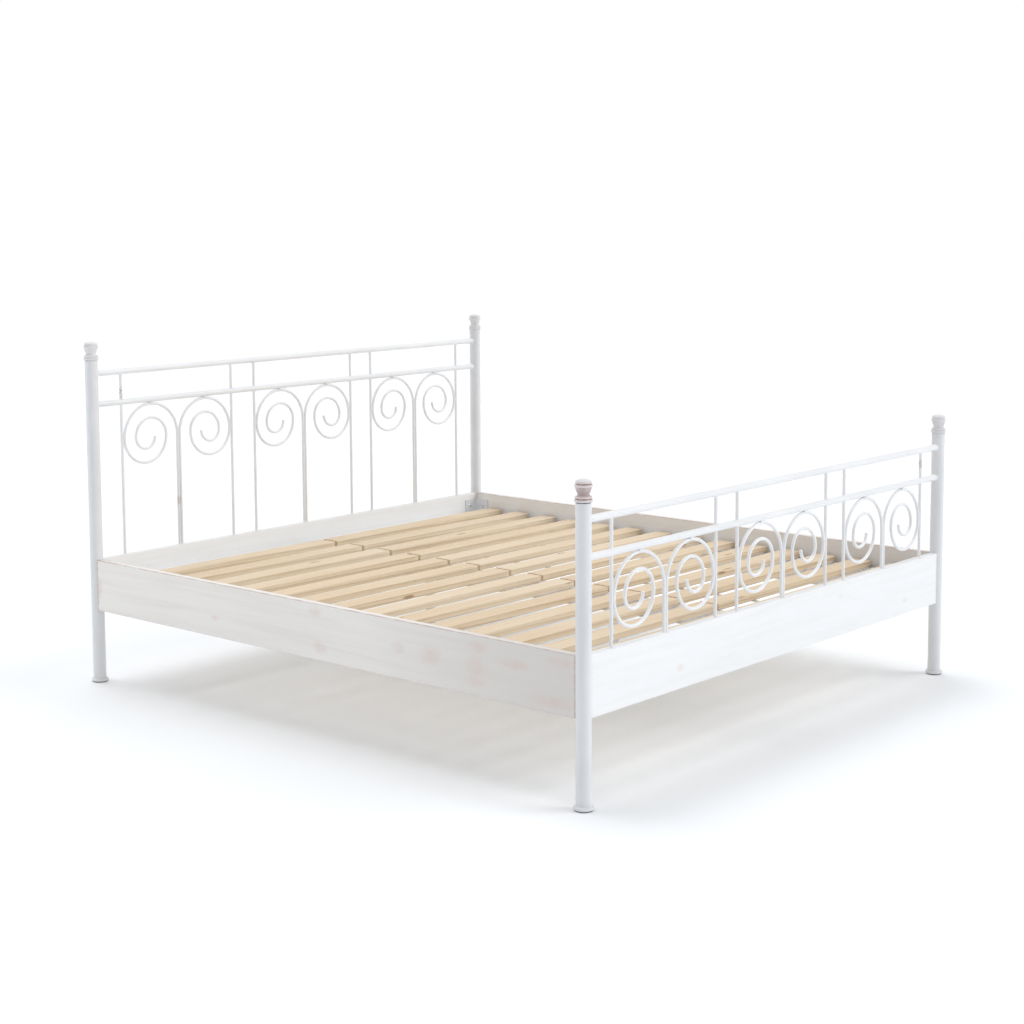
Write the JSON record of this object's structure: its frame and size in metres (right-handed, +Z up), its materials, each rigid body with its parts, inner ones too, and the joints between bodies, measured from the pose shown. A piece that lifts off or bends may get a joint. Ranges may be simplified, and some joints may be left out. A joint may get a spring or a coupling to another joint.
{
  "type": "bed frame",
  "caption": "Double bed frame with round steel posts, turned finials, scroll panels between tube rails at the head and foot, wooden boards and a slatted base.",
  "frame": {"origin": "on the floor, at the centre of the bed's plan", "axes": "+Z up, +Y along the bed towards the head end, +X across the bed to the right as seen from the foot end"},
  "size_m": [1.905, 2.105, 1.122],
  "materials": {
    "white_powder_coat": "satin white powder coat on steel",
    "whitewashed_board_wood": "whitewashed softwood, worn to reddish brown along the arrises",
    "whitewashed_finial_wood": "whitewashed turned wood, reddish brown in the grooves",
    "slat_pine": "planed pine",
    "webbing": "woven polyester webbing",
    "felt": "pressed wool felt",
    "black_plastic": "moulded, fine texture",
    "zinc_plated_steel": "bright zinc plate",
    "galvanised_steel": "galvanised sheet"
  },
  "bodies": {
    "bed": {"beam_bolts": "zinc_plated_steel", "beam_saddles": "galvanised_steel", "board_bolts": "zinc_plated_steel", "board_inserts": "zinc_plated_steel", "centre_beam": "white_powder_coat", "corner_brackets": "white_powder_coat", "felt_pads": "felt", "foot_board": "whitewashed_board_wood", "foot_end_centre_leg": "white_powder_coat", "foot_left_finial": "whitewashed_finial_wood", "foot_left_panel_left_scroll": "white_powder_coat", "foot_left_panel_right_scroll": "white_powder_coat", "foot_left_panel_rods": "white_powder_coat", "foot_left_post": "white_powder_coat", "foot_left_post_foot": "white_powder_coat", "foot_lower_rail": "white_powder_coat", "foot_middle_panel_left_scroll": "white_powder_coat", "foot_middle_panel_right_scroll": "white_powder_coat", "foot_middle_panel_rods": "white_powder_coat", "foot_right_finial": "whitewashed_finial_wood", "foot_right_panel_left_scroll": "white_powder_coat", "foot_right_panel_right_scroll": "white_powder_coat", "foot_right_panel_rods": "white_powder_coat", "foot_right_post": "white_powder_coat", "foot_right_post_foot": "white_powder_coat", "foot_sill_bar": "white_powder_coat", "foot_upper_rail": "white_powder_coat", "head_board": "whitewashed_board_wood", "head_end_centre_leg": "white_powder_coat", "head_left_finial": "whitewashed_finial_wood", "head_left_panel_left_scroll": "white_powder_coat", "head_left_panel_right_scroll": "white_powder_coat", "head_left_panel_rods": "white_powder_coat", "head_left_post": "white_powder_coat", "head_left_post_foot": "white_powder_coat", "head_lower_rail": "white_powder_coat", "head_middle_panel_left_scroll": "white_powder_coat", "head_middle_panel_right_scroll": "white_powder_coat", "head_middle_panel_rods": "white_powder_coat", "head_right_finial": "whitewashed_finial_wood", "head_right_panel_left_scroll": "white_powder_coat", "head_right_panel_right_scroll": "white_powder_coat", "head_right_panel_rods": "white_powder_coat", "head_right_post": "white_powder_coat", "head_right_post_foot": "white_powder_coat", "head_sill_bar": "white_powder_coat", "head_upper_rail": "white_powder_coat", "left_ledger": "galvanised_steel", "left_side_board": "whitewashed_board_wood", "left_slats": "slat_pine", "leg_plugs": "black_plastic", "right_ledger": "galvanised_steel", "right_side_board": "whitewashed_board_wood", "right_slats": "slat_pine", "webbing_straps": "webbing", "wood_screws": "zinc_plated_steel"},
    "foot_end_levelling_foot": {"foot_end_spindle": "zinc_plated_steel", "foot_end_levelling_pad": "black_plastic"},
    "head_end_levelling_foot": {"head_end_spindle": "zinc_plated_steel", "head_end_levelling_pad": "black_plastic"}
  },
  "joints": [
    {"name": "foot_end_foot_screw", "type": "slide", "parent": "bed", "child": "foot_end_levelling_foot", "axis": [0, 0, -1], "range_m": [-0.015, 0.01]},
    {"name": "head_end_foot_screw", "type": "slide", "parent": "bed", "child": "head_end_levelling_foot", "axis": [0, 0, -1], "range_m": [-0.015, 0.01]}
  ]
}
